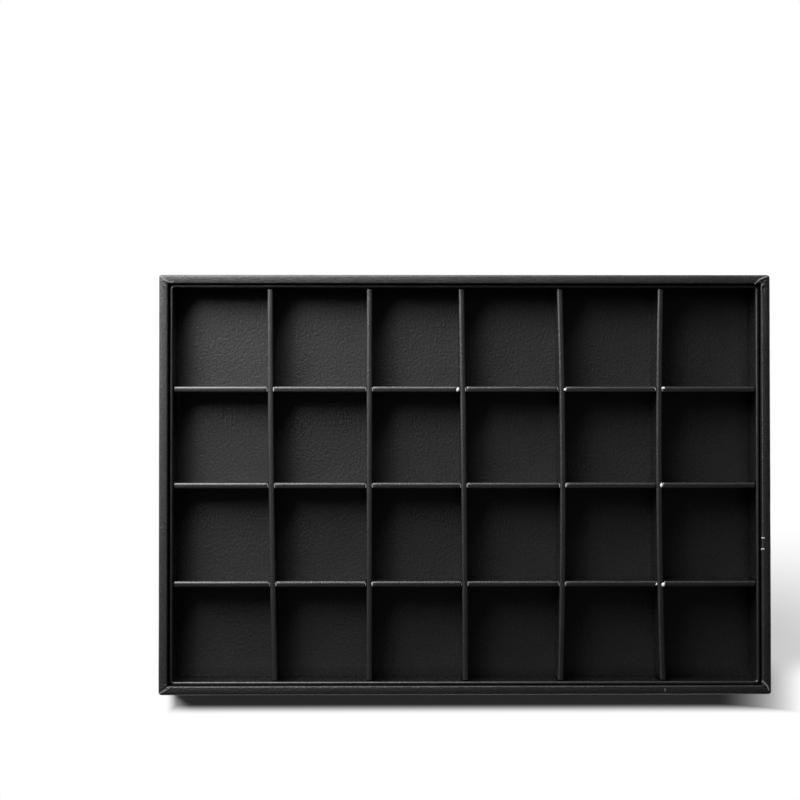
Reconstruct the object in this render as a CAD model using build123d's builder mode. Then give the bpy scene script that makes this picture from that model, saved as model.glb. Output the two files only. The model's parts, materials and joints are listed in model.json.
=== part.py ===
from build123d import *
import os

# Jewelry display tray with a grid of open compartments, in millimetres.
# It lies on its underside and opens upwards, along +Z. X runs along its long side and Y along its
# short side. The origin is the centre of the underside.
# The outer tray is a frame of boards wrapped in leatherette. A shallow insert, with a floor and a
# liner strip, stands loose in it, and a grid of slotted dividers stands loose in the insert.

# Outer tray
tray_length = 350.0
tray_width = 240.0
tray_height = 30.0
wall_thickness = 4.0
base_thickness = 3.0
wrap_thickness = 0.5
wrap_turn_under = 12.0
corner_round = 1.8
rim_round = 1.1
foot_round = 0.9
base_paper_thickness = 0.3
base_paper_gap = 0.3
lining_thickness = 0.4
lining_inset = 2.5
lining_corner_round = 3.0

# Insert: a floor and the liner strip that stands round its edge
insert_gap_end = 1.1
insert_gap_side = 0.6
insert_seat = 0.1
floor_card_thickness = 1.0
floor_skin_thickness = 0.5
liner_card_thickness = 0.8
liner_drop = 2.5
liner_corner_round = 2.6
liner_edge_round = 0.6
skin_thickness = 0.4

# Divider grid: long dividers run along X, cross dividers along Y
columns = 6
rows = 4
divider_card_thickness = 2.4
divider_drop = 0.5
divider_end_gap = 0.8
divider_edge_round = 0.7
divider_end_round = 0.8
grid_seat = 0.1
slot_side_gap = 0.25
slot_height_gap = 0.3
slot_shoulder_round = 1.2

# The dividers were set by hand, so none stands exactly in its place. For a cross divider, shift is
# how far its middle stands to the right, lean how far its back end leans to the right and its
# front end to the left, and bow how far both its ends bend to the right.
cross_shift = (0.7, 1.0, -0.5, 0.75, 0.4)
cross_lean = (-1.4, 0.1, -1.05, -0.05, -0.35)
cross_bow = (0.6, 0.0, -0.3, -1.6, 1.5)
long_shift = (-1.0, -1.0, -2.2)

# Plan sizes
board_length = tray_length - 2 * wrap_thickness
board_width = tray_width - 2 * wrap_thickness
base_length = board_length - 2 * wall_thickness
base_width = board_width - 2 * wall_thickness
opening_length = base_length - 2 * wrap_thickness
opening_width = base_width - 2 * wrap_thickness
insert_length = opening_length - 2 * insert_gap_end
insert_width = opening_width - 2 * insert_gap_side
liner_thickness = liner_card_thickness + 2 * skin_thickness
inner_length = insert_length - 2 * liner_thickness
inner_width = insert_width - 2 * liner_thickness
liner_inner_round = liner_corner_round - liner_thickness
divider_thickness = divider_card_thickness + 2 * skin_thickness
long_divider_length = inner_length - 2 * divider_end_gap
cross_divider_length = inner_width - 2 * divider_end_gap

# Heights, from the underside up
wrap_foot = lining_thickness
board_foot = wrap_foot + wrap_thickness
board_top = tray_height - wrap_thickness
base_top = board_foot + base_thickness
base_paper_top = base_top + base_paper_thickness
insert_foot = base_paper_top + insert_seat
card_top = insert_foot + floor_card_thickness
floor_top = card_top + floor_skin_thickness
liner_top = tray_height - liner_drop
grid_foot = floor_top + grid_seat
divider_top = liner_top - divider_drop
divider_height = divider_top - grid_foot
slot_middle = grid_foot + divider_height / 2


def row_place(number):
    """Where the middle plane of a long divider stands along Y, counted from the front."""
    pitch = inner_width / rows
    return (number - rows / 2) * pitch + long_shift[(number - 1) % len(long_shift)]


def column_place(number, y):
    """Where the middle plane of a cross divider stands along X, at a place along Y."""
    pitch = inner_length / columns
    index = (number - 1) % len(cross_shift)
    along = y / (cross_divider_length / 2)
    set_by_hand = cross_shift[index] + cross_lean[index] * along + cross_bow[index] * along**2
    return (number - columns / 2) * pitch + set_by_hand


def side_curve(number, side, reach):
    """One long side of a cross divider in plan: a shallow curve through its three places."""
    front = column_place(number, -reach) + side
    back = column_place(number, reach) + side
    middle = column_place(number, 0) + side
    pull = 2 * middle - (front + back) / 2
    return Bezier((front, -reach), (pull, 0), (back, reach))


os.makedirs("parts", exist_ok=True)

# Base board
with BuildPart() as base_board:
    with BuildSketch(Plane.XY.offset(board_foot)):
        Rectangle(base_length, base_width)
    extrude(amount=base_thickness)
base_board.part.label = "base_board"
export_step(base_board.part, "parts/base_board.step")

# Wall boards: one ring of wall with its edges eased, cut into four where the boards butt together
with BuildPart() as wall_ring:
    with BuildSketch(Plane.XY.offset(board_foot)):
        RectangleRounded(board_length, board_width, corner_round - wrap_thickness)
        Rectangle(base_length, base_width, mode=Mode.SUBTRACT)
    extrude(amount=board_top - board_foot)
    fillet(wall_ring.faces().sort_by(Axis.Z)[-1].edges(), radius=rim_round - wrap_thickness)
    foot_edges = wall_ring.faces().sort_by(Axis.Z)[0].outer_wire().edges()
    fillet(foot_edges, radius=foot_round - wrap_thickness)

end_wall_x = (board_length - wall_thickness) / 2
side_wall_y = (board_width - wall_thickness) / 2
wall_sides = {
    "front": (0, -side_wall_y, board_length, wall_thickness),
    "back": (0, side_wall_y, board_length, wall_thickness),
    "left": (-end_wall_x, 0, wall_thickness, base_width),
    "right": (end_wall_x, 0, wall_thickness, base_width),
}
wall_boards = []
for side, (x, y, length, width) in wall_sides.items():
    with BuildPart() as wall_board:
        add(wall_ring.part)
        with Locations((x, y, tray_height / 2)):
            Box(length, width, tray_height, mode=Mode.INTERSECT)
    wall_board.part.label = f"{side}_wall_board"
    export_step(wall_board.part, f"parts/{side}_wall_board.step")
    wall_boards.append(wall_board.part)

# Leatherette wrap: one strip that covers the walls outside, over the rim and inside, and turns
# under the base
with BuildPart() as wall_wrap:
    with BuildSketch(Plane.XY.offset(wrap_foot)):
        RectangleRounded(tray_length, tray_width, corner_round)
    extrude(amount=tray_height - wrap_foot)
    with BuildSketch(Plane.XY.offset(base_top)):
        Rectangle(opening_length, opening_width)
    extrude(amount=tray_height - base_top, mode=Mode.SUBTRACT)
    with BuildSketch(Plane.XY.offset(wrap_foot)):
        Rectangle(tray_length - 2 * wrap_turn_under, tray_width - 2 * wrap_turn_under)
    extrude(amount=wrap_thickness, mode=Mode.SUBTRACT)
    fillet(wall_wrap.faces().sort_by(Axis.Z)[-1].edges(), radius=rim_round)
    fillet(wall_wrap.faces().sort_by(Axis.Z)[0].outer_wire().edges(), radius=foot_round)
    add(base_board.part, mode=Mode.SUBTRACT)
    for board in wall_boards:
        add(board, mode=Mode.SUBTRACT)
wall_wrap.part.label = "wall_wrap"
export_step(wall_wrap.part, "parts/wall_wrap.step")

# Paper that covers the base board inside the tray
with BuildPart() as base_paper:
    with BuildSketch(Plane.XY.offset(base_top)):
        Rectangle(opening_length - 2 * base_paper_gap, opening_width - 2 * base_paper_gap)
    extrude(amount=base_paper_thickness)
base_paper.part.label = "base_paper"
export_step(base_paper.part, "parts/base_paper.step")

# Underside lining: a sheet over the turned-in edge of the wrap, pressed up onto the base board
# inside it
with BuildPart() as underside_lining:
    window_length = tray_length - 2 * wrap_turn_under
    window_width = tray_width - 2 * wrap_turn_under
    with BuildSketch():
        RectangleRounded(
            tray_length - 2 * lining_inset, tray_width - 2 * lining_inset, lining_corner_round
        )
    extrude(amount=board_foot)
    with BuildSketch(Plane.XY.offset(wrap_foot)):
        Rectangle(tray_length, tray_width)
        Rectangle(window_length, window_width, mode=Mode.SUBTRACT)
    extrude(amount=wrap_thickness, mode=Mode.SUBTRACT)
    with BuildSketch():
        Rectangle(window_length - 2 * lining_thickness, window_width - 2 * lining_thickness)
    extrude(amount=wrap_thickness, mode=Mode.SUBTRACT)
underside_lining.part.label = "underside_lining"
export_step(underside_lining.part, "parts/underside_lining.step")

# Insert floor: a card and the leatherette glued on it
with BuildPart() as floor_card:
    with BuildSketch(Plane.XY.offset(insert_foot)):
        RectangleRounded(insert_length, insert_width, liner_corner_round)
    extrude(amount=floor_card_thickness)
floor_card.part.label = "floor_card"
export_step(floor_card.part, "parts/floor_card.step")

with BuildPart() as floor_skin:
    with BuildSketch(Plane.XY.offset(card_top)):
        RectangleRounded(insert_length, insert_width, liner_corner_round)
    extrude(amount=floor_skin_thickness)
floor_skin.part.label = "floor_skin"
export_step(floor_skin.part, "parts/floor_skin.step")

# Liner cards: the card inside the liner strip, in four lengths, the front and back ones bent round
# the corners
with BuildPart() as liner_ring:
    with BuildSketch(Plane.XY.offset(floor_top)):
        RectangleRounded(
            insert_length - 2 * skin_thickness,
            insert_width - 2 * skin_thickness,
            liner_corner_round - skin_thickness,
        )
        RectangleRounded(
            inner_length + 2 * skin_thickness,
            inner_width + 2 * skin_thickness,
            liner_inner_round + skin_thickness,
            mode=Mode.SUBTRACT,
        )
    extrude(amount=liner_top - skin_thickness - floor_top)

straight_side = insert_width - 2 * liner_corner_round
bend_y = (insert_width - liner_corner_round) / 2
end_liner_x = (insert_length - liner_thickness) / 2
liner_sides = {
    "front": (0, -bend_y, insert_length, liner_corner_round),
    "back": (0, bend_y, insert_length, liner_corner_round),
    "left": (-end_liner_x, 0, liner_thickness, straight_side),
    "right": (end_liner_x, 0, liner_thickness, straight_side),
}
for side, (x, y, length, width) in liner_sides.items():
    with BuildPart() as liner_card:
        add(liner_ring.part)
        with Locations((x, y, tray_height / 2)):
            Box(length, width, tray_height, mode=Mode.INTERSECT)
    liner_card.part.label = f"{side}_liner_card"
    export_step(liner_card.part, f"parts/{side}_liner_card.step")

# Liner skin: the leatherette round the liner cards, open only where it stands on the floor
with BuildPart() as liner_skin:
    with BuildSketch(Plane.XY.offset(floor_top)):
        RectangleRounded(insert_length, insert_width, liner_corner_round)
        RectangleRounded(inner_length, inner_width, liner_inner_round, mode=Mode.SUBTRACT)
    extrude(amount=liner_top - floor_top)
    fillet(liner_skin.faces().sort_by(Axis.Z)[-1].edges(), radius=liner_edge_round)
    add(liner_ring.part, mode=Mode.SUBTRACT)
liner_skin.part.label = "liner_skin"
export_step(liner_skin.part, "parts/liner_skin.step")

# Slots that let the dividers cross: cut down from the top of a long divider, with rounded
# shoulders at its mouth, and up from the foot of a cross divider
slot_width = divider_thickness + 2 * slot_side_gap
long_slot_floor = slot_middle - slot_height_gap / 2
cross_slot_height = slot_middle + slot_height_gap / 2 - grid_foot


def shouldered_slot(width, top, shoulder):
    """The outline of a slot from the top of a divider, in its own X and height."""
    half = width / 2
    above = top + shoulder
    with BuildSketch() as slot:
        with BuildLine():
            Polyline((-half, top - shoulder), (-half, long_slot_floor), (half, long_slot_floor))
            Line((half, long_slot_floor), (half, top - shoulder))
            CenterArc((half + shoulder, top - shoulder), shoulder, 90, 90)
            Polyline((half + shoulder, top), (half + shoulder, above), (-half - shoulder, above))
            Line((-half - shoulder, above), (-half - shoulder, top))
            CenterArc((-half - shoulder, top - shoulder), shoulder, 0, 90)
        make_face()
    return slot.sketch


skin_slot = shouldered_slot(slot_width, divider_top, slot_shoulder_round)
card_slot = shouldered_slot(
    slot_width + 2 * skin_thickness,
    divider_top - skin_thickness,
    slot_shoulder_round - skin_thickness,
)

# Long dividers
card_height = divider_height - skin_thickness
for number in range(1, rows):
    row_y = row_place(number)
    slot_plane = Plane.XZ.offset(-row_y)
    crossings = [(column_place(column, row_y), 0) for column in range(1, columns)]

    with BuildPart() as long_card:
        with BuildSketch(Plane.XY.offset(grid_foot)):
            with Locations((0, row_y)):
                Rectangle(long_divider_length - 2 * skin_thickness, divider_card_thickness)
        extrude(amount=card_height)
        with BuildSketch(slot_plane):
            with Locations(crossings):
                add(card_slot)
        extrude(amount=divider_thickness, both=True, mode=Mode.SUBTRACT)
    long_card.part.label = f"long_divider_{number}_card"
    export_step(long_card.part, f"parts/long_divider_{number}_card.step")

    with BuildPart() as long_skin:
        with BuildSketch(Plane.XY.offset(grid_foot)):
            with Locations((0, row_y)):
                Rectangle(long_divider_length, divider_thickness)
        extrude(amount=divider_height)
        fillet(long_skin.edges().filter_by(Axis.Z), radius=divider_end_round)
        fillet(long_skin.faces().sort_by(Axis.Z)[-1].edges(), radius=divider_edge_round)
        with BuildSketch(slot_plane):
            with Locations(crossings):
                add(skin_slot)
        extrude(amount=divider_thickness, both=True, mode=Mode.SUBTRACT)
        add(long_card.part, mode=Mode.SUBTRACT)
    long_skin.part.label = f"long_divider_{number}_skin"
    export_step(long_skin.part, f"parts/long_divider_{number}_skin.step")


def cross_plan(number, thickness, length):
    """A cross divider seen from above."""
    with BuildSketch() as plan:
        with BuildLine():
            left = side_curve(number, -thickness / 2, length / 2)
            right = side_curve(number, thickness / 2, length / 2)
            Line(left @ 0, right @ 0)
            Line(left @ 1, right @ 1)
        make_face()
    return plan.sketch


# Cross dividers
for number in range(1, columns):
    crossings = [(column_place(number, row_place(row)), row_place(row)) for row in range(1, rows)]

    with BuildPart() as cross_card:
        with BuildSketch(Plane.XY.offset(grid_foot)):
            card_length = cross_divider_length - 2 * skin_thickness
            add(cross_plan(number, divider_card_thickness, card_length))
        extrude(amount=card_height)
        with BuildSketch(Plane.XY.offset(grid_foot)):
            with Locations(crossings):
                Rectangle(2 * divider_thickness, slot_width)
        extrude(amount=cross_slot_height, mode=Mode.SUBTRACT)
    cross_card.part.label = f"cross_divider_{number}_card"
    export_step(cross_card.part, f"parts/cross_divider_{number}_card.step")

    with BuildPart() as cross_skin:
        with BuildSketch(Plane.XY.offset(grid_foot)):
            add(cross_plan(number, divider_thickness, cross_divider_length))
        extrude(amount=divider_height)
        fillet(cross_skin.edges().filter_by(Axis.Z), radius=divider_end_round)
        fillet(cross_skin.faces().sort_by(Axis.Z)[-1].edges(), radius=divider_edge_round)
        with BuildSketch(Plane.XY.offset(grid_foot)):
            with Locations(crossings):
                Rectangle(2 * divider_thickness, slot_width)
        extrude(amount=cross_slot_height, mode=Mode.SUBTRACT)
        add(cross_card.part, mode=Mode.SUBTRACT)
    cross_skin.part.label = f"cross_divider_{number}_skin"
    export_step(cross_skin.part, f"parts/cross_divider_{number}_skin.step")
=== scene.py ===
import json
import math

import bmesh
import bpy
from mathutils import Euler, Matrix, Quaternion, Vector


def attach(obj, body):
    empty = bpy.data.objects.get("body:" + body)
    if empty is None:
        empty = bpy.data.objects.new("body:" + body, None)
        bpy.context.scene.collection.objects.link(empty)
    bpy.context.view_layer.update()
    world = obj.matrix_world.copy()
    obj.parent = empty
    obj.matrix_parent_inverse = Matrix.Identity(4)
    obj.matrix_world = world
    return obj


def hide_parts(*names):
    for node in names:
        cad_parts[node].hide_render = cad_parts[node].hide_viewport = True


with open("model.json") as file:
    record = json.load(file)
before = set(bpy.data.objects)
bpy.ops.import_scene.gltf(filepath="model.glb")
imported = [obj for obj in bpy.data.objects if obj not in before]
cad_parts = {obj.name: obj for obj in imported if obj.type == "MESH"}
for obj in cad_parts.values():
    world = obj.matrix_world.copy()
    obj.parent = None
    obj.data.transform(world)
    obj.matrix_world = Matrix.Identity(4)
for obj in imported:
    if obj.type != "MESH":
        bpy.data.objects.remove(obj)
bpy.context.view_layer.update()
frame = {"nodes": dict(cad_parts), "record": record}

scene = bpy.context.scene
mm = 0.001

# Sizes of the tray, in metres, as in the part's source
tray_half = Vector((175, 120)) * mm
rim_width = 5 * mm
rim_top = 30 * mm
wrap_foot = 0.4 * mm
base_top = 3.9 * mm
wrap_thickness = 0.5 * mm
turn_under = 12 * mm
insert_half = Vector((168.9, 114.4)) * mm
liner_thickness = 1.6 * mm
liner_top = 27.5 * mm
card_top = 5.3 * mm
floor_top = 5.8 * mm
grid_foot = 5.9 * mm
divider_top = 27 * mm
divider_thickness = 3.2 * mm
skin_thickness = 0.4 * mm
slot_half = 1.85 * mm
long_slot_floor = 16.3 * mm
cross_slot_top = 16.6 * mm
long_half = 166.5 * mm
cross_half = 112 * mm
column_pitch = 334.6 / 6 * mm
row_pitch = 225.6 / 4 * mm
cross_shift = (0.7, 1.0, -0.5, 0.75, 0.4)
cross_lean = (-1.4, 0.1, -1.05, -0.05, -0.35)
cross_bow = (0.6, 0.0, -0.3, -1.6, 1.5)
long_shift = (-1.0, -1.0, -2.2)
# How far the coverings stand off the middle of their cards, in millimetres
cover_back = 0.28
cover_left = (0.1, 0, 0, 0.2, 0.3)


def row_place(number):
    """Where a long divider's covering stands along Y, counted from the front."""
    return (number - 2) * row_pitch + (long_shift[number - 1] + cover_back) * mm


def column_place(number, y):
    """Where a cross divider's covering stands along X, at a place along Y."""
    along = y / cross_half
    index = number - 1
    by_hand = cross_shift[index] + cross_lean[index] * along + cross_bow[index] * along**2
    return (number - 3) * column_pitch + (by_hand - cover_left[index]) * mm


# Modelling

def deselect():
    bpy.ops.object.select_all(action="DESELECT")


def take(piece):
    """Makes a piece the only one selected and the active one."""
    deselect()
    piece.select_set(True)
    bpy.context.view_layer.objects.active = piece


def settle(piece):
    """Puts a piece's place and size into its mesh."""
    take(piece)
    bpy.ops.object.transform_apply(location=True, rotation=True, scale=True)


def block(name, low, high):
    deselect()
    low, high = Vector(low), Vector(high)
    bpy.ops.mesh.primitive_cube_add(size=1, location=(low + high) / 2)
    piece = bpy.context.object
    piece.name = name
    piece.scale = high - low
    settle(piece)
    return piece


def edit(piece):
    take(piece)
    bpy.ops.object.mode_set(mode="EDIT")


def leave():
    bpy.ops.object.mode_set(mode="OBJECT")


def pick(kind, test):
    """In edit mode, selects the vertices, edges or faces that pass a test."""
    bpy.ops.mesh.select_mode(type=kind)
    bpy.ops.mesh.select_all(action="DESELECT")
    mesh = bpy.context.object.data
    shape = bmesh.from_edit_mesh(mesh)
    shape.normal_update()
    for item in {"VERT": shape.verts, "EDGE": shape.edges, "FACE": shape.faces}[kind]:
        if test(item):
            item.select_set(True)
    shape.select_flush_mode()
    bmesh.update_edit_mesh(mesh)


def near(value, goal, reach=0.02 * mm):
    return abs(value - goal) < reach


def ends(edge):
    return edge.verts[0].co, edge.verts[1].co


def lies_at(edge, axis, places):
    """Whether both ends of an edge are at one of the places along an axis."""
    return any(all(near(end[axis], place) for end in ends(edge)) for place in places)


def runs_along(edge, axis):
    a, b = ends(edge)
    return abs((a - b).normalized()[axis]) > 0.999


def is_corner(edge, degrees=25):
    return len(edge.link_faces) == 2 and edge.calc_face_angle(0) > math.radians(degrees)


def bevel(offset, segments):
    bpy.ops.mesh.bevel(offset=offset, offset_type="OFFSET", segments=segments, affect="EDGES",
                       clamp_overlap=False)


def cut(axis, places):
    """Cuts the whole mesh across an axis at each place."""
    across = [0, 0, 0]
    across[axis] = 1
    for place in places:
        where = [0, 0, 0]
        where[axis] = place
        bpy.ops.mesh.select_all(action="SELECT")
        bpy.ops.mesh.bisect(plane_co=where, plane_no=across, threshold=0.001 * mm)


def spread(low, high, pitch):
    """Places from low to high, about a pitch apart, without the two ends."""
    count = max(1, round((high - low) / pitch))
    return [low + (high - low) * step / count for step in range(1, count)]


def both_sides(places):
    return [-place for place in places] + list(places)


def modify(piece, kind, **settings):
    """Adds a modifier and applies it."""
    take(piece)
    modifier = piece.modifiers.new(kind.lower(), kind)
    for name, value in settings.items():
        setattr(modifier, name, value)
    bpy.ops.object.modifier_apply(modifier=modifier.name)


def weigh(piece, name, weight_at):
    """A vertex group with a weight from each vertex's place and normal."""
    group = piece.vertex_groups.new(name=name)
    for vertex in piece.data.vertices:
        weight = weight_at(vertex.co, vertex.normal)
        if weight > 0.001:
            group.add([vertex.index], min(weight, 1), "REPLACE")
    return group.name


def swell(piece, name, height, weight_at):
    """Moves a mesh along its normals by up to a height, where its weight says."""
    modify(piece, "DISPLACE", strength=height, mid_level=0,
           vertex_group=weigh(piece, name, weight_at))
    piece.vertex_groups.clear()


def ripple(piece, size, height, weight_at=None, middle=0.5):
    """Slight unevenness of a covering that was laid by hand, about its surface or, with middle 1,
    only inwards."""
    waves = bpy.data.textures.new(f"{piece.name}_ripple", "CLOUDS")
    waves.noise_scale = size
    waves.noise_depth = 1
    settings = {"texture": waves, "texture_coords": "LOCAL", "strength": height,
                "mid_level": middle}
    if weight_at:
        settings["vertex_group"] = weigh(piece, "ripple", weight_at)
    modify(piece, "DISPLACE", **settings)
    piece.vertex_groups.clear()


def thicken(piece, thickness):
    """Gives a covering its thickness inwards, a little short of what lies under it."""
    modify(piece, "SOLIDIFY", thickness=thickness - 0.05 * mm, offset=-1, use_even_offset=False)


def outward(piece):
    """Merges doubles and turns all faces outwards."""
    edit(piece)
    bpy.ops.mesh.select_all(action="SELECT")
    bpy.ops.mesh.remove_doubles(threshold=0.002 * mm)
    bpy.ops.mesh.normals_make_consistent(inside=False)
    leave()


def smooth(piece, degrees=35):
    take(piece)
    bpy.ops.object.shade_smooth_by_angle(angle=math.radians(degrees))


def finish_piece(piece, body, slot, material, *replaced):
    piece.data.materials.clear()
    piece.data.materials.append(material)
    for face in piece.data.polygons:
        face.material_index = 0
    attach(piece, body)
    if replaced:
        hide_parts(*replaced)


# Materials

class Finish:
    """A material and short ways to build its nodes."""

    def __init__(self, name, colour, roughness, specular=0.5):
        self.material = bpy.data.materials.new(name)
        self.material.use_nodes = True
        self.tree = self.material.node_tree
        self.tree.nodes.clear()
        self.output = self.tree.nodes.new("ShaderNodeOutputMaterial")
        self.shader = self.add("ShaderNodeBsdfPrincipled")
        self.join(self.shader, "BSDF", self.output, "Surface")
        self.shader.inputs["Base Color"].default_value = (*colour, 1)
        self.shader.inputs["Roughness"].default_value = roughness
        self.shader.inputs["Specular IOR Level"].default_value = specular
        self.where = self.add("ShaderNodeTexCoord")

    def add(self, kind, settings=None, **inputs):
        node = self.tree.nodes.new(kind)
        for name, value in (settings or {}).items():
            setattr(node, name, value)
        for name, value in inputs.items():
            node.inputs[name.replace("_", " ")].default_value = value
        return node

    def join(self, source, output, target, entry):
        self.tree.links.new(source.outputs[output], target.inputs[entry])

    def place(self, scale=(1, 1, 1)):
        """Object coordinates, stretched."""
        if scale == (1, 1, 1):
            return self.where, "Object"
        stretch = self.add("ShaderNodeMapping", Scale=scale)
        self.join(self.where, "Object", stretch, "Vector")
        return stretch, "Vector"

    def cells(self, size, scale=(1, 1, 1)):
        node = self.add("ShaderNodeTexVoronoi", {"feature": "SMOOTH_F1"}, Scale=1 / size,
                        Smoothness=0.7)
        source, output = self.place(scale)
        self.join(source, output, node, "Vector")
        return node, "Distance"

    def noise(self, size, detail=2.0, scale=(1, 1, 1)):
        node = self.add("ShaderNodeTexNoise", Scale=1 / size, Detail=detail)
        source, output = self.place(scale)
        self.join(source, output, node, "Vector")
        return node, "Fac"

    def span(self, source, low, high, to_low, to_high):
        node = self.add("ShaderNodeMapRange", From_Min=low, From_Max=high, To_Min=to_low,
                        To_Max=to_high)
        self.join(*source, node, "Value")
        return node, "Result"

    def maths(self, operation, first, second):
        node = self.add("ShaderNodeMath", {"operation": operation})
        for index, value in enumerate((first, second)):
            if isinstance(value, tuple):
                self.join(*value, node, index)
            else:
                node.inputs[index].default_value = value
        return node, "Value"

    def height_band(self, low, high):
        """0 below a height of the piece, 1 above another."""
        split = self.add("ShaderNodeSeparateXYZ")
        self.join(self.where, "Object", split, "Vector")
        return self.span((split, "Z"), low, high, 0, 1)

    def spot(self, point, radius):
        """1 within a radius of a point, 0 a little further out."""
        away = self.add("ShaderNodeVectorMath", {"operation": "DISTANCE"})
        self.join(self.where, "Object", away, 0)
        away.inputs[1].default_value = point
        return self.span((away, "Value"), radius * 0.6, radius * 1.2, 1, 0)

    def colours(self, source, dark, light):
        node = self.add("ShaderNodeMix", {"data_type": "RGBA"})
        node.inputs["A"].default_value = (*dark, 1)
        node.inputs["B"].default_value = (*light, 1)
        self.join(*source, node, "Factor")
        return node, "Result"

    def bump(self, source, depth, strength=1.0):
        node = self.add("ShaderNodeBump", Distance=depth, Strength=strength)
        self.join(*source, node, "Height")
        previous = self.shader.inputs["Normal"]
        if previous.links:
            first = previous.links[0].from_node
            self.join(first, "Normal", node, "Normal")
        self.join(node, "Normal", self.shader, "Normal")

    def set(self, entry, source):
        self.join(*source, self.shader, entry)


def leatherette(name, colour, roughness, grain, depth, pebbled=0.7, stretch=(1, 1, 1),
                speckle=0.02, flecks=0.0, index=1.5, duller=0.0, smooth_below=None, marks=()):
    """Black leatherette: a pebbled grain, fine pores and an uneven gloss, which can be duller
    towards the back left. Flecks are where its coating is dull with wear. Below a height it can
    have another roughness, where no hand rubs it. A mark is a point, a radius and a depth: a dent,
    also painted nearly black as shade inside it."""
    finish = Finish(name, colour, roughness, specular=1.0)
    finish.shader.inputs["IOR"].default_value = index
    pebbles = finish.cells(grain, stretch)
    pores = finish.noise(grain * 0.8, 2, stretch)
    specks = finish.noise(grain, 2, (1, 1, stretch[2]))
    relief = finish.maths("ADD", finish.maths("MULTIPLY", pebbles, pebbled),
                          finish.maths("MULTIPLY", pores, 1.3 - pebbled))
    finish.bump(relief, depth)
    patches = finish.noise(28 * mm, 3)
    gloss = finish.span(patches, 0.3, 0.7, roughness - 0.012, roughness + 0.012)
    if duller:
        slope = finish.add("ShaderNodeVectorMath", {"operation": "DOT_PRODUCT"})
        finish.join(finish.where, "Object", slope, 0)
        slope.inputs[1].default_value = (-0.55, 0.85, 0)
        gloss = finish.maths("ADD", gloss, finish.span((slope, "Value"), -0.19, 0.19,
                                                       -duller, duller))
    if smooth_below:
        height, smoother = smooth_below
        top = finish.height_band(height, height + 1 * mm)
        gloss = finish.maths("SUBTRACT", gloss, finish.maths(
            "MULTIPLY", finish.maths("SUBTRACT", 1.0, top), roughness - smoother))
    gloss = finish.maths("ADD", gloss, finish.span(specks, 0.25, 0.75, -speckle, speckle))
    worn_and_pit_shade = finish.span(specks, 0.3, 0.7, 0, flecks)
    shade = finish.maths("ADD", finish.maths("MULTIPLY", patches, 0.5),
                         finish.maths("MULTIPLY", specks, 0.5))
    darker = [part * 0.7 for part in colour]
    lighter = [part * 1.35 for part in colour]
    shown = finish.colours(finish.span(shade, 0.3, 0.7, 0, 1), darker, lighter)
    if marks:
        dents = None
        for point, radius, sunk in marks:
            spot = finish.maths("MULTIPLY", finish.spot(point, radius), sunk)
            dents = finish.maths("MAXIMUM", dents, spot) if dents else spot
        finish.bump(finish.maths("MULTIPLY", dents, -1.0), 0.35 * mm)
        gloss = finish.maths("ADD", gloss, finish.maths("MULTIPLY", dents, 0.3))
        # Metallic near 1 makes each dent nearly black: painted shade in the pit
        worn_and_pit_shade = finish.maths("MAXIMUM", worn_and_pit_shade, finish.maths("MULTIPLY", dents, 0.96))
    finish.set("Metallic", worn_and_pit_shade)
    finish.set("Roughness", gloss)
    finish.set("Base Color", shown)
    return finish.material


def board(name, colour, lighter, fibre, depth, roughness=0.85):
    """Card or fibreboard: pressed fibres, flecks and a slightly rough face."""
    finish = Finish(name, colour, roughness, specular=0.3)
    fibres = finish.noise(fibre, 4, (0.35, 1, 1))
    flecks = finish.noise(fibre * 5, 2)
    shade = finish.maths("ADD", finish.maths("MULTIPLY", fibres, 0.6),
                         finish.maths("MULTIPLY", flecks, 0.4))
    finish.set("Base Color", finish.colours(finish.span(shade, 0.32, 0.68, 0, 1), colour, lighter))
    finish.set("Roughness", finish.span(flecks, 0.3, 0.7, roughness - 0.06, roughness + 0.06))
    finish.bump(fibres, depth)
    return finish.material


def flocked_cloth(name, colour):
    """Flocked lining cloth: a short pile of fibres over a fine weave."""
    finish = Finish(name, colour, 0.95, specular=0.2)
    finish.shader.inputs["Sheen Weight"].default_value = 0.25
    finish.shader.inputs["Sheen Roughness"].default_value = 0.4
    weave = [finish.add("ShaderNodeTexWave", {"bands_direction": way}, Scale=1 / (2.2 * mm),
                        Distortion=0.6) for way in ("X", "Y")]
    for threads in weave:
        finish.join(finish.where, "Object", threads, "Vector")
    pile = finish.noise(0.35 * mm, 3)
    brushed = finish.noise(14 * mm, 3, (1, 0.4, 1))
    over = finish.maths("MULTIPLY", (weave[0], "Fac"), (weave[1], "Fac"))
    relief = finish.maths("ADD", finish.maths("MULTIPLY", over, 0.3), pile)
    finish.bump(relief, 0.12 * mm)
    shade = finish.maths("ADD", finish.maths("MULTIPLY", pile, 0.5),
                         finish.maths("MULTIPLY", brushed, 0.5))
    lighter = [part * 1.8 for part in colour]
    finish.set("Base Color", finish.colours(finish.span(shade, 0.3, 0.7, 0, 1), colour, lighter))
    return finish.material


# Dents in the rim's top; the leatherette paints each one nearly black, as shade inside the pit
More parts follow.
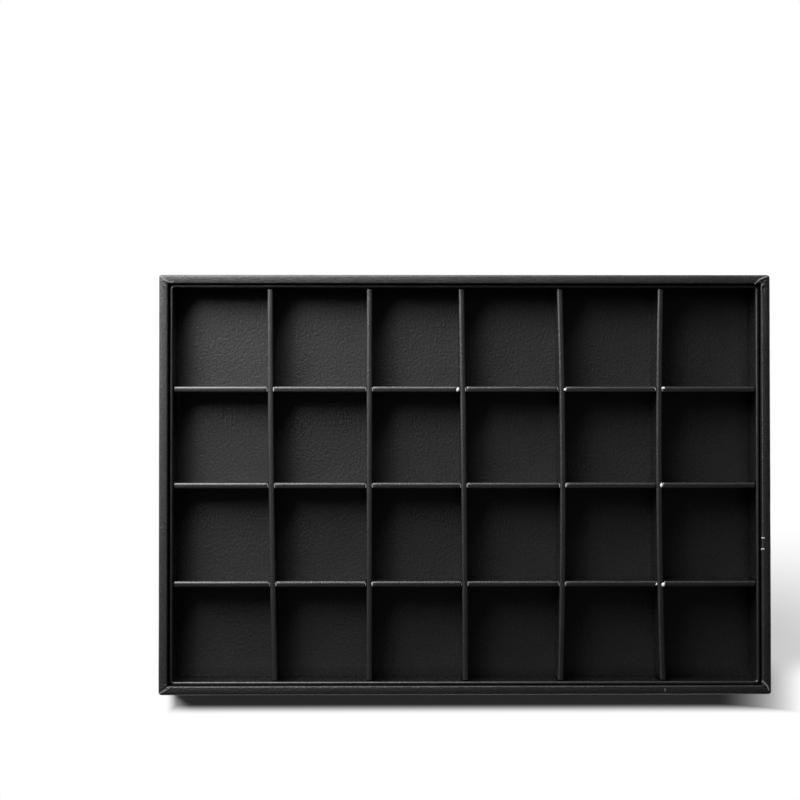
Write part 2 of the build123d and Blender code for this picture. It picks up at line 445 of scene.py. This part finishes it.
rim_pits = [(Vector((171.0, y, 30)) * mm, 0.42 * mm, 1.0)
            for y in (88.7, 76.7, 68.9, 58.3, 34.9, 13.7)]
finishes = {
    "wrap_leatherette": leatherette("wrap_leatherette", (0.0022, 0.0024, 0.0022), 0.475, 0.9 * mm,
                                    0.2 * mm, speckle=0.03, flecks=0.4, index=1.60,
                                    marks=rim_pits),
    "insert_leatherette": leatherette("insert_leatherette", (0.0020, 0.0022, 0.0020), 0.42,
                                      0.9 * mm, 0.09 * mm, flecks=0.2, index=1.58,
                                      smooth_below=(25.4 * mm, 0.27)),
    "floor_leatherette": leatherette("floor_leatherette", (0.0018, 0.0021, 0.0019), 0.465,
                                     1.2 * mm, 0.16 * mm, pebbled=0.3, stretch=(0.75, 0.6, 0),
                                     speckle=0.03, flecks=0.3, index=1.58, duller=0.034),
    "board": board("board", (0.22, 0.13, 0.07), (0.36, 0.24, 0.14), 0.4 * mm, 0.05 * mm),
    "card": board("card", (0.27, 0.26, 0.25), (0.42, 0.41, 0.39), 0.3 * mm, 0.03 * mm),
    "black_paper": board("black_paper", (0.009, 0.009, 0.009), (0.018, 0.018, 0.018), 0.3 * mm,
                         0.03 * mm),
    "lining_cloth": flocked_cloth("lining_cloth", (0.007, 0.007, 0.0075)),
}
# Pale grey of cut backing; it also paints the highlights on the rim's corner folds
backing_and_fold_highlight = board("backing_and_fold_highlight", (0.15, 0.15, 0.147), (0.24, 0.24, 0.235), 0.25 * mm, 0.04 * mm)
fluffed_backing = board("fluffed_backing", (0.38, 0.38, 0.37), (0.55, 0.55, 0.54), 0.25 * mm,
                        0.05 * mm)
torn_card = board("torn_card", (0.62, 0.61, 0.58), (0.82, 0.81, 0.78), 0.2 * mm, 0.05 * mm)
slot_of = {part["node"]: part["material_slot"] for part in frame["record"]["subparts"]}
for name, node in frame["nodes"].items():
    node.data.materials.clear()
    node.data.materials.append(finishes[slot_of[name]])


# Wrap of the outer tray: one ring from the turned-in edge under the base, up the outside, over the
# rim and down the inside

wrap = block("rim_wrap", (-tray_half.x, -tray_half.y, wrap_foot),
             (tray_half.x, tray_half.y, rim_top))
inner_half = tray_half - Vector((rim_width, rim_width))
edit(wrap)
pick("FACE", lambda face: face.normal.z > 0.9)
bpy.ops.mesh.inset(thickness=rim_width)
bpy.ops.mesh.extrude_region_move(TRANSFORM_OT_translate={"value": (0, 0, base_top - rim_top)})
bpy.ops.mesh.delete(type="FACE")
pick("FACE", lambda face: face.normal.z < -0.9)
bpy.ops.mesh.inset(thickness=turn_under)
bpy.ops.mesh.delete(type="FACE")
pick("EDGE", lambda edge: runs_along(edge, 2) and lies_at(edge, 0, both_sides([tray_half.x])))
bevel(1.8 * mm, 6)
pick("EDGE", lambda edge: lies_at(edge, 2, [rim_top]) and is_corner(edge)
     and not lies_at(edge, 0, both_sides([inner_half.x]))
     and not lies_at(edge, 1, both_sides([inner_half.y])))
bevel(1.1 * mm, 5)
pick("EDGE", lambda edge: lies_at(edge, 2, [rim_top]) and is_corner(edge))
bevel(0.5 * mm, 4)
pick("EDGE", lambda edge: lies_at(edge, 2, [wrap_foot]) and is_corner(edge))
bevel(0.9 * mm, 3)
corner_reach = 11 * mm
fine = 0.4 * mm
for axis, half in ((0, tray_half.x), (1, tray_half.y)):
    cut(axis, both_sides(spread(half - corner_reach, half, fine)))
    cut(axis, spread(corner_reach - half, half - corner_reach, 7 * mm))
cut(2, spread(2 * mm, 27 * mm, 6 * mm))
leave()


def rim_crown(place, normal):
    """1 along the middle of the rim's top, 0 at its edges."""
    if place.z < rim_top - 0.01 * mm:
        return 0
    from_inside = max(abs(place.x) - inner_half.x, abs(place.y) - inner_half.y)
    along = (from_inside - 0.5 * mm) / (rim_width - 1.6 * mm)
    return max(0, 4 * along * (1 - along))


def side_lap(place, normal):
    """1 where the long sides' covering laps round onto the short walls."""
    if abs(normal.x) < 0.7 or place.z > rim_top - 1.2 * mm or abs(place.x) < tray_half.x - mm:
        return 0
    return min(1, max(0, (abs(place.y) - 109.5 * mm) / (0.3 * mm)))


# Folds where the covering is pinched together over the corners of the rim: each is a line of
# points along the rim in millimetres, its half width and its height
rim_folds = (
    ((-173.9, 118.8), (-172.4, 117.6), (-170.6, 116.3), (-168.3, 114.4), 0.45, 0.12),
    ((-174.4, 117.4), (-172.2, 115.6), (-170.6, 114.2), (-169.4, 112.6), 0.45, -0.16),
    ((-168.9, 115.9), (-167.8, 115.1), (-166.9, 115.3), (-166.2, 116.0), 0.40, 0.20),
    ((-171.8, 113.6), (-170.9, 112.7), (-170.2, 111.9), 0.40, 0.16),
    ((165.9, 114.8), (167.7, 116.1), (169.3, 117.3), (171.7, 118.4), (174.1, 119.2), 0.52, 0.12),
    ((167.4, 114.3), (169.4, 116.1), (171.6, 117.1), (174.0, 117.8), 0.50, -0.14),
    ((170.2, 109.6), (169.9, 112.6), (170.4, 113.9), (171.7, 114.4), (172.8, 113.9), 0.42, 0.28),
    ((171.3, 109.8), (171.3, 112.0), (172.2, 112.8), 0.40, -0.18),
    ((-173.6, -118.9), (-170.9, -117.3), (-169.2, -115.9), (-167.2, -114.6), 0.48, 0.12),
    ((-174.2, -117.6), (-171.4, -115.9), (-170.0, -114.8), 0.40, -0.12),
    ((-172.6, -115.9), (-170.9, -114.7), (-169.8, -114.0), (-169.1, -112.3), 0.40, 0.20),
    ((169.3, -112.2), (170.8, -113.3), (172.3, -115.1), (173.6, -117.6), 0.45, 0.14),
    ((168.8, -114.2), (170.5, -115.6), (172.1, -118.2), 0.50, -0.12),
    ((172.0, -111.6), (173.2, -113.0), (174.0, -115.2), 0.40, -0.14),
)


def fold_height(place):
    """How far the covering stands up at a place, in millimetres."""
    if place.z < rim_top - 6 * mm:
        return 0
    spot = Vector((place.x, place.y)) / mm
    total = 0
    for *points, half_width, height in rim_folds:
        if (Vector(points[0]) - spot).length > 15:
            continue
        nearest, share = 1e9, 0
        for index, (start, end) in enumerate(zip(points, points[1:])):
            start, end = Vector(start), Vector(end)
            along = min(1, max(0, (spot - start).dot(end - start) / (end - start).length_squared))
            away = (start + (end - start) * along - spot).length
            if away < nearest:
                nearest, share = away, (index + along) / (len(points) - 1)
        taper = min(1, 4 * share + 0.25, 4 * (1 - share) + 0.25)
        total += height * taper * math.exp(-(nearest / half_width) ** 2)
    return total * min(1, max(0, (place.z / mm - 24) / 5))


deepest = 0.4
swell(wrap, "crown", 0.10 * mm, rim_crown)
swell(wrap, "laps", 0.22 * mm, side_lap)
swell(wrap, "folds", deepest * mm, lambda place, normal: fold_height(place) / deepest)
swell(wrap, "creases", -deepest * mm, lambda place, normal: -fold_height(place) / deepest)
ripple(wrap, 13 * mm, 0.14 * mm)
thicken(wrap, wrap_thickness)
outward(wrap)
smooth(wrap)
finish_piece(wrap, "outer_tray", "wrap_leatherette", finishes["wrap_leatherette"], "wall_wrap")


# Liner strip of the insert, covered on both sides and over its top edge

insert_corner = 2.6 * mm


def inner_loop(edge):
    """Whether an edge on top of the liner strip lies on its inner side."""
    middle = insert_half - Vector((insert_corner, insert_corner))
    for end in ends(edge):
        place = Vector((abs(end.x), abs(end.y)))
        if place.x > insert_half.x - 0.8 * mm or place.y > insert_half.y - 0.8 * mm:
            return False
        if (min(place.x - insert_half.x, place.y - insert_half.y) > -3 * mm
                and (place - middle).length > 2 * mm):
            return False
    return True


liner = block("liner_cover", (-insert_half.x, -insert_half.y, floor_top),
              (insert_half.x, insert_half.y, liner_top))
edit(liner)
pick("EDGE", lambda edge: runs_along(edge, 2))
bevel(insert_corner, 6)
pick("FACE", lambda face: face.normal.z > 0.9)
bpy.ops.mesh.inset(thickness=liner_thickness)
bpy.ops.mesh.extrude_region_move(TRANSFORM_OT_translate={"value": (0, 0, floor_top - liner_top)})
bpy.ops.mesh.delete(type="FACE")
pick("FACE", lambda face: face.normal.z < -0.9)
bpy.ops.mesh.delete(type="FACE")
pick("EDGE", lambda edge: lies_at(edge, 2, [liner_top]) and is_corner(edge) and inner_loop(edge))
bevel(0.75 * mm, 4)
pick("EDGE", lambda edge: lies_at(edge, 2, [liner_top]) and is_corner(edge))
bevel(0.45 * mm, 3)
for axis, half in ((0, insert_half.x), (1, insert_half.y)):
    cut(axis, spread(-half + 3 * mm, half - 3 * mm, 5 * mm))
cut(2, [11 * mm, 18 * mm, 24 * mm])
leave()
ripple(liner, 9 * mm, 0.16 * mm, lambda place, normal: (place.z - floor_top) / (10 * mm))
thicken(liner, skin_thickness)
outward(liner)
smooth(liner)
finish_piece(liner, "insert", "insert_leatherette", finishes["insert_leatherette"], "liner_skin")


# Floor covering of the insert

floor_cover = block("floor_cover", (-insert_half.x, -insert_half.y, card_top),
                    (insert_half.x, insert_half.y, floor_top))
edit(floor_cover)
pick("EDGE", lambda edge: runs_along(edge, 2))
bevel(insert_corner, 6)
pick("EDGE", lambda edge: lies_at(edge, 2, [floor_top]) and is_corner(edge))
bevel(0.15 * mm, 2)
for axis, half in ((0, insert_half.x), (1, insert_half.y)):
    cut(axis, spread(-half + 3 * mm, half - 3 * mm, 4.5 * mm))
leave()
ripple(floor_cover, 16 * mm, 0.09 * mm, lambda place, normal: normal.z)
smooth(floor_cover)
finish_piece(floor_cover, "insert", "floor_leatherette", finishes["floor_leatherette"],
             "floor_skin")


# Lining cloth under the tray, cut smaller than the base and laid over the turned-in wrap

lining_half = tray_half - Vector((2.5, 2.5)) * mm
lining = block("base_lining", (-lining_half.x, -lining_half.y, 0),
               (lining_half.x, lining_half.y, wrap_foot))
edit(lining)
pick("EDGE", lambda edge: runs_along(edge, 2))
bevel(3 * mm, 5)
pick("EDGE", lambda edge: lies_at(edge, 2, [0]) and is_corner(edge))
bevel(0.12 * mm, 2)
for axis, half in ((0, lining_half.x), (1, lining_half.y)):
    cut(axis, spread(-half + 3.2 * mm, half - 3.2 * mm, 6 * mm))
leave()
ripple(lining, 10 * mm, 0.1 * mm, lambda place, normal: -normal.z, middle=1)
outward(lining)
smooth(lining)
finish_piece(lining, "outer_tray", "lining_cloth", finishes["lining_cloth"], "underside_lining")


# Covers of the dividers: leatherette over both faces, the ends and the top edge of each card

def divider_cover(name, axis, half_length, slots, slot_low, slot_high, lit_side):
    """A straight divider cover along an axis, its middle plane through the origin. The covering is
    pulled tight over its lit edge and is rounder over the other."""
    deselect()
    bpy.ops.mesh.primitive_plane_add(size=1)
    piece = bpy.context.object
    piece.name = name
    turn = Matrix.Rotation(math.radians(90), 4, "X")
    if axis == 1:
        turn = Matrix.Rotation(math.radians(90), 4, "Z") @ turn
    size = Matrix.Diagonal((2 * half_length, divider_top - grid_foot, 1, 1))
    piece.data.transform(Matrix.Translation((0, 0, (divider_top + grid_foot) / 2)) @ turn @ size)
    across = 1 - axis
    edit(piece)
    cut(axis, [place + side for place in slots for side in (-slot_half, slot_half)])
    cut(2, [slot_low if slot_low > grid_foot else slot_high])
    pick("FACE", lambda face: slot_low < face.calc_center_median().z < slot_high
         and any(abs(face.calc_center_median()[axis] - place) < slot_half for place in slots))
    bpy.ops.mesh.delete(type="FACE")
    bpy.ops.mesh.select_all(action="SELECT")
    thick = [0, 0, 0]
    thick[across] = divider_thickness
    bpy.ops.mesh.extrude_region_move(TRANSFORM_OT_translate={"value": thick})
    bpy.ops.mesh.select_all(action="SELECT")
    thick[across] = -divider_thickness / 2
    bpy.ops.transform.translate(value=thick)
    bpy.ops.mesh.normals_make_consistent(inside=False)
    pick("FACE", lambda face: face.normal.z < -0.9 and near(face.calc_center_median().z, grid_foot))
    bpy.ops.mesh.delete(type="FACE")
    if slot_low > grid_foot:
        pick("EDGE", lambda edge: runs_along(edge, across) and lies_at(edge, 2, [divider_top])
             and is_corner(edge) and abs(ends(edge)[0][axis]) < half_length - mm)
        bevel(0.8 * mm, 4)
    for side, radius in ((lit_side, 0.5 * mm), (-lit_side, 0.6 * mm)):
        pick("EDGE", lambda edge: is_corner(edge)
             and lies_at(edge, across, [side * divider_thickness / 2])
             and max(end.z for end in ends(edge)) > cross_slot_top + 0.1 * mm)
        bevel(radius, 4)
    cut(axis, spread(-half_length, half_length, 3.4 * mm))
    cut(2, [21 * mm, 25 * mm])
    cut(across, [lit_side * place * mm for place in (0.8, 0.55, 0, -0.5)])
    leave()
    return piece


def crown(piece, across, lit_side, steps):
    """Lets the covering of a divider's top fall away from its highest line. Each step is a band
    across the top, counted from the middle towards the lit edge, and how far it sinks, in
    millimetres."""
    edit(piece)
    for low, high, depth in steps:
        pick("VERT", lambda vertex: vertex.co.z > divider_top - mm
             and low * mm < lit_side * vertex.co[across] < high * mm)
        bpy.ops.transform.translate(value=(0, 0, -depth * mm))
    leave()


def finish_cover(cover, skin):
    ripple(cover, 7 * mm, 0.12 * mm)
    thicken(cover, skin_thickness)
    outward(cover)
    smooth(cover)
    finish_piece(cover, "divider_grid", "insert_leatherette", finishes["insert_leatherette"], skin)


for number in (1, 2, 3):
    row_y = row_place(number)
    crossings = [column_place(column, row_y) for column in range(1, 6)]
    cover = divider_cover(f"long_divider_{number}_cover", 0, long_half, crossings,
                          long_slot_floor, divider_top, 1)
    crown(cover, 1, 1, ((1.0, 1.7, 0.23), (0.75, 0.85, 0.07), (-0.1, 0.1, 0.03),
                        (-0.6, -0.4, 0.04), (-1.7, -0.65, 0.06)))
    cover.data.transform(Matrix.Translation((0, row_y, 0)))
    finish_cover(cover, f"long_divider_{number}_skin")

for number in (1, 2, 3, 4, 5):
    crossings = [row_place(row) for row in (1, 2, 3)]
    cover = divider_cover(f"cross_divider_{number}_cover", 1, cross_half, crossings, grid_foot,
                          cross_slot_top, -1)
    if number < 4:
        crown(cover, 0, -1, ((1.0, 1.7, 0.24), (0.75, 0.85, 0.10), (0.5, 0.6, 0.03),
                             (-0.6, -0.4, 0.02), (-1.7, -0.65, 0.04)))
    else:
        crown(cover, 0, -1, ((1.0, 1.7, 0.24), (0.75, 0.85, 0.09), (0.5, 0.6, 0.02),
                             (-0.1, 0.1, 0.03), (-0.6, -0.4, 0.02)))
    for vertex in cover.data.vertices:
        vertex.co.x += column_place(number, vertex.co.y)
    finish_cover(cover, f"cross_divider_{number}_skin")


# Cut edges of the leatherette where its pale backing shows, torn card at the slots,
# and pale strips on the rim's corner folds that are painted highlights

def bar_along(name, line, thickness):
    """A bar that follows a line of points, each with the bar's width there, in millimetres. It is a
    block cut into lengths and then laid along the line."""
    length = sum((Vector(b[:3]) - Vector(a[:3])).length for a, b in zip(line, line[1:]))
    piece = block(name, (0, -0.5 * mm, -thickness / 2 * mm),
                  (length * mm, 0.5 * mm, thickness / 2 * mm))
    edit(piece)
    pick("EDGE", lambda edge: runs_along(edge, 0) and edge.verts[0].co.z > 0)
    bevel(thickness * 0.35 * mm, 2)
    steps = max(4, round(length / 0.35))
    cut(0, spread(0, length * mm, length / steps * mm))
    leave()
    lengths = [0]
    for a, b in zip(line, line[1:]):
        lengths.append(lengths[-1] + (Vector(b[:3]) - Vector(a[:3])).length)
    for vertex in piece.data.vertices:
        along = min(max(vertex.co.x / mm, 0), lengths[-1])
        index = max(i for i in range(len(lengths) - 1) if lengths[i] <= along + 1e-6)
        share = (along - lengths[index]) / (lengths[index + 1] - lengths[index])
        a, b = line[index], line[index + 1]
        before, after = line[max(index - 1, 0)], line[min(index + 2, len(line) - 1)]
        ways = [Vector(p[:3]) - Vector(q[:3]) for p, q in ((b, before), (after, a))]
        way = ways[0].normalized().lerp(ways[1].normalized(), share).normalized()
        side = Vector((0, 0, 1)).cross(way)
        side.normalize()
        width = a[3] + (b[3] - a[3]) * share
        centre = Vector(a[:3]).lerp(Vector(b[:3]), share)
        rise = way.cross(side).normalized()
        vertex.co = (centre + side * (vertex.co.y / mm) * width + rise * (vertex.co.z / mm)) * mm
    return piece


def finish_torn(piece, size, height, degrees, *riding):
    """Gives a piece a torn, fibrous surface and finishes it."""
    edit(piece)
    bpy.ops.mesh.select_all(action="SELECT")
    bpy.ops.mesh.subdivide(number_cuts=1)
    leave()
    ripple(piece, size, height)
    outward(piece)
    smooth(piece, degrees)
    finish_piece(piece, *riding)


def gather(name, pieces):
    deselect()
    for piece in pieces:
        piece.select_set(True)
    bpy.context.view_layer.objects.active = pieces[0]
    bpy.ops.object.join()
    pieces[0].name = name
    return pieces[0]


# Painted highlights on the folds at the corners of the rim, as raised pale strips: points along
# each, and its width there, in millimetres
rim_fold_highlights = {
    "back_left": ((-174.6, 119.4, 30.00, 1.0), (-173.6, 118.6, 30.25, 1.4),
                  (-172.3, 117.3, 30.25, 1.4), (-170.7, 116.4, 30.15, 0.9),
                  (-169.2, 115.9, 29.90, 0.4)),
    "back_right": ((166.0, 114.7, 29.70, 0.4), (167.8, 116.2, 30.10, 0.7),
                   (169.2, 117.4, 30.20, 1.0), (171.5, 118.4, 30.20, 1.1),
                   (173.7, 119.1, 30.00, 0.9)),
    "front_left": ((-174.5, -118.8, 29.85, 0.4), (-172.1, -117.8, 30.00, 0.6),
                   (-169.8, -116.7, 30.00, 0.4), (-168.4, -115.5, 30.00, 0.35),
                   (-167.3, -114.9, 29.80, 0.25)),
    "front_right": ((169.3, -112.4, 29.90, 0.75), (170.7, -113.3, 30.15, 0.85),
                    (172.2, -114.7, 30.20, 0.9), (173.0, -116.0, 30.15, 0.85),
                    (173.5, -117.6, 29.95, 0.7)),
}
# The pale colour of these strips is painted highlight: the glint of each fold
for corner, line in rim_fold_highlights.items():
    edge = bar_along(f"rim_edge_{corner}", line, 0.45)
    finish_torn(edge, 0.8 * mm, 0.06 * mm, 35, "outer_tray", "wrap_leatherette", backing_and_fold_highlight)

# Nicks in the rim, where the covering has lifted off its backing
nicks = (((170.55, -30.7, 29.98), (0.95, 0.42, 0.12), torn_card),
         ((170.30, -37.0, 29.96), (0.95, 0.40, 0.12), torn_card),
         ((114.05, -117.4, 30.08), (0.22, 0.9, 0.10), backing_and_fold_highlight))
for number, (place, half, material) in enumerate(nicks, 1):
    place, half = Vector(place) * mm, Vector(half) * mm
    nick = block(f"rim_nick_{number}", place - half, place + half)
    edit(nick)
    pick("EDGE", lambda edge: edge.verts[0].co.z > place.z and edge.verts[1].co.z > place.z)
    bevel(0.1 * mm, 2)
    leave()
    finish_torn(nick, 0.5 * mm, 0.1 * mm, 50, "outer_tray", "wrap_leatherette", material)

# For each crossing, the pale cut edge left and right of the cross divider: how far it stands off
# the end of the slot, and its width, in millimetres
slot_edges = {
    3: ((0.05, 0.4, -0.15, 0.85), (0.05, 0.35, -0.2, 0.45), (0, 0, -0.25, 0.4),
        (0.45, 0.35, 0, 0), (0.3, 0.4, -0.1, 0.4)),
    2: ((0.05, 0.3, -0.2, 0.4), (0.1, 0.3, -0.25, 0.42), (0.05, 0.32, -0.05, 0.5),
        (0.0, 0.5, -0.1, 1.1), (0, 0, 0, 0)),
    1: ((0.0, 0.3, -0.1, 0.5), (0.3, 0.4, -0.2, 1.05), (0.0, 0.2, -0.1, 0.4),
        (0.0, 0.3, -0.15, 0.5), (0.0, 0.45, 0, 0)),
}
for number, crossings in slot_edges.items():
    row_y = row_place(number) / mm
    edges = []
    for column, pair in enumerate(crossings, 1):
        for side, off, width in ((-1, *pair[:2]), (1, *pair[2:])):
            if width == 0:
                continue
            x = column_place(column, row_place(number)) / mm + side * (slot_half / mm + off)
            bend = 0.7 if side < 0 else 0.2     # how far it curls round its corner
            line = ((x + side * bend, row_y + 1.15, 26.85, width * 0.6),
                    (x + side * bend * 0.3, row_y + 0.6, 26.8, width * 0.9),
                    (x, row_y - 0.1, 26.75, width),
                    (x, row_y - 1.1, 26.55, width * 0.7))
            edges.append(bar_along(f"slot_edge_{number}_{column}_{side}", line, 0.45))
    edges = gather(f"long_divider_{number}_cut_edges", edges)
    finish_torn(edges, 0.7 * mm, 0.06 * mm, 35, "divider_grid", "card", fluffed_backing)

# Torn card that stands out of slots: place and half size in millimetres
chips = (((-3.93, 54.31, 26.8), (0.45, 0.95, 0.4)),
         ((109.95, -57.44, 26.9), (0.32, 0.32, 0.25)),
         ((112.98, -0.71, 26.9), (0.38, 1.15, 0.35)),
         ((57.72, 54.25, 26.9), (0.5, 0.6, 0.4)),
         ((114.19, 55.10, 26.9), (1.0, 0.3, 0.3)),
         ((113.87, -57.68, 26.9), (0.65, 0.85, 0.45)))
for number, (place, half) in enumerate(chips, 1):
    place, half = Vector(place) * mm, Vector(half) * mm
    chip = block(f"torn_card_{number}", place - half, place + half)
    edit(chip)
    bpy.ops.mesh.select_all(action="SELECT")
    bpy.ops.mesh.subdivide(number_cuts=3, smoothness=1.0)
    leave()
    finish_torn(chip, 0.6 * mm, 0.2 * mm, 50, "divider_grid", "card", torn_card)

# Front ends of the cross dividers, where the covering is cut short: width and height of the lip
end_lips = ((2.2, 0.5), (2.4, 0.7), (2.4, 0.7), (2.2, 0.35), (2.0, 0.35))
for number, (width, height) in enumerate(end_lips, 1):
    x = column_place(number, -cross_half) / mm
    lip = bar_along(f"cross_divider_{number}_end_edge",
                    ((x - width / 2, -111.35, 26.5, height), (x, -111.5, 26.75, height * 1.2),
                     (x + width / 2, -111.35, 26.5, height)), 0.4)
    finish_torn(lip, 0.7 * mm, 0.06 * mm, 35, "divider_grid", "card", backing_and_fold_highlight)


# Stage

deselect()
bpy.ops.mesh.primitive_plane_add(size=6)
floor = bpy.context.object
floor.name = "floor"
pale = Finish("pale_floor", (0.72, 0.72, 0.72), 0.8)
white = pale.add("ShaderNodeEmission", Strength=1.0)
path = pale.add("ShaderNodeLightPath")
seen = pale.maths("MAXIMUM", (path, "Is Camera Ray"), (path, "Is Glossy Ray"))
seen = pale.maths("MAXIMUM", seen, (path, "Is Transmission Ray"))
split = pale.add("ShaderNodeSeparateXYZ")
pale.join(pale.where, "Object", split, "Vector")


def eased(source, low, high, to_low=0.0, to_high=1.0):
    node, output = pale.span(source, low * mm, high * mm, to_low, to_high)
    node.interpolation_type = "SMOOTHSTEP"
    return node, output


# The tray's shadow shows as a band in front of it, ending on the left and fading out on the right
right = pale.span((split, "X"), 150 * mm, 200 * mm, 0, 1)
right = pale.maths("MULTIPLY", right, right)
beside = eased((split, "Y"), -93, -22, 0.58, 1.0)
corner = eased((split, "Y"), -118, -100)
fade = pale.add("ShaderNodeMix", {"data_type": "FLOAT"})
pale.join(*corner, fade, "Factor")
pale.join(*right, fade, "A")
pale.join(*beside, fade, "B")
past_right = pale.maths("MULTIPLY", (fade, "Result"),
                        pale.span((split, "X"), 150 * mm, 152 * mm, 0, 1))
cleared = pale.maths("MAXIMUM", past_right, eased((split, "X"), -175.5, -168, 1.0, 0.0))
cleared = pale.maths("MAXIMUM", cleared, eased((split, "Y"), -136.6, -130.4, 1.0, 0.0))
cleared = pale.maths("MAXIMUM", cleared, eased((split, "Y"), 119, 121))
mix = pale.add("ShaderNodeMixShader")
pale.join(*pale.maths("MULTIPLY", seen, cleared), mix, "Fac")
pale.tree.links.new(pale.shader.outputs["BSDF"], mix.inputs[1])
pale.tree.links.new(white.outputs["Emission"], mix.inputs[2])
pale.join(mix, "Shader", pale.output, "Surface")
floor.data.materials.append(pale.material)


def softbox(name, place, target, width, height, roll, power):
    """A rectangular lamp that faces a target, rolled about its own axis."""
    light = bpy.data.lights.new(name, "AREA")
    light.shape = "RECTANGLE"
    light.size = width
    light.size_y = height
    light.energy = power
    lamp = bpy.data.objects.new(name, light)
    lamp.location = place
    aim = (Vector(target) - Vector(place)).to_track_quat("-Z", "Y")
    lamp.rotation_euler = (aim @ Quaternion((0, 0, 1), math.radians(roll))).to_euler()
    lamp.visible_camera = False
    scene.collection.objects.link(lamp)


softbox("main_lamp", (-0.4005, 0.5870, 0.3590), (0, 0, 0), 0.872, 0.734, 16.5, 17.0)

# Dim room light, brighter towards the horizon; the camera sees white
world = bpy.data.worlds.new("studio")
scene.world = world
world.use_nodes = True
nodes, links = world.node_tree.nodes, world.node_tree.links
background = nodes["Background"]
background.inputs["Color"].default_value = (1, 1, 1, 1)
where = nodes.new("ShaderNodeTexCoord")
axes = nodes.new("ShaderNodeSeparateXYZ")
links.new(where.outputs["Generated"], axes.inputs["Vector"])
band = nodes.new("ShaderNodeMapRange")
for entry, value in (("From Min", 0.10), ("From Max", 0.35), ("To Min", 0.2), ("To Max", 0.030)):
    band.inputs[entry].default_value = value
links.new(axes.outputs["Z"], band.inputs["Value"])
ray = nodes.new("ShaderNodeLightPath")
choice = nodes.new("ShaderNodeMix")
links.new(ray.outputs["Is Camera Ray"], choice.inputs["Factor"])
links.new(band.outputs["Result"], choice.inputs["A"])
choice.inputs["B"].default_value = 1.0
links.new(choice.outputs["Result"], background.inputs["Strength"])

# Camera: straight over the tray and a little left and behind of its middle
image_size = 800
focal_pixels = 1561.8
camera_data = bpy.data.cameras.new("camera")
camera_data.sensor_width = 36
camera_data.lens = focal_pixels / image_size * camera_data.sensor_width
camera = bpy.data.objects.new("camera", camera_data)
camera.location = (-0.0442, 0.0350, 0.9229)
camera.rotation_euler = Euler((math.radians(0.854), math.radians(-0.446), math.radians(-0.021)))
scene.collection.objects.link(camera)
scene.camera = camera
scene.view_settings.view_transform = "Standard"
